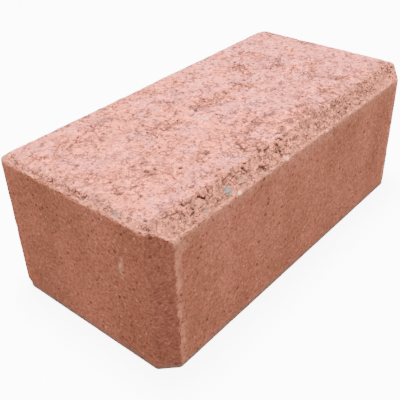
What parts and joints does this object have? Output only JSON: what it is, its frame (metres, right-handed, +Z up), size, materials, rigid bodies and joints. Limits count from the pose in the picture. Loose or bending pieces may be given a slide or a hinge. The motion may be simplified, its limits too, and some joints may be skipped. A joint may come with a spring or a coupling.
{
  "type": "concrete wall block",
  "caption": "Solid oblong wall block of pressed red concrete, with bevelled long top edges and cut-off upright corners, laid flat in courses to build low walls and edgings.",
  "frame": {"origin": "middle of the underside, on the floor or course that the block lies on", "axes": "+X along the length, +Y across the width, +Z up from the underside to the pressed top face"},
  "size_m": [0.29, 0.15, 0.11],
  "materials": {
    "red_concrete": "matte"
  },
  "bodies": {
    "root": {"wall_block": "red_concrete"}
  },
  "joints": []
}
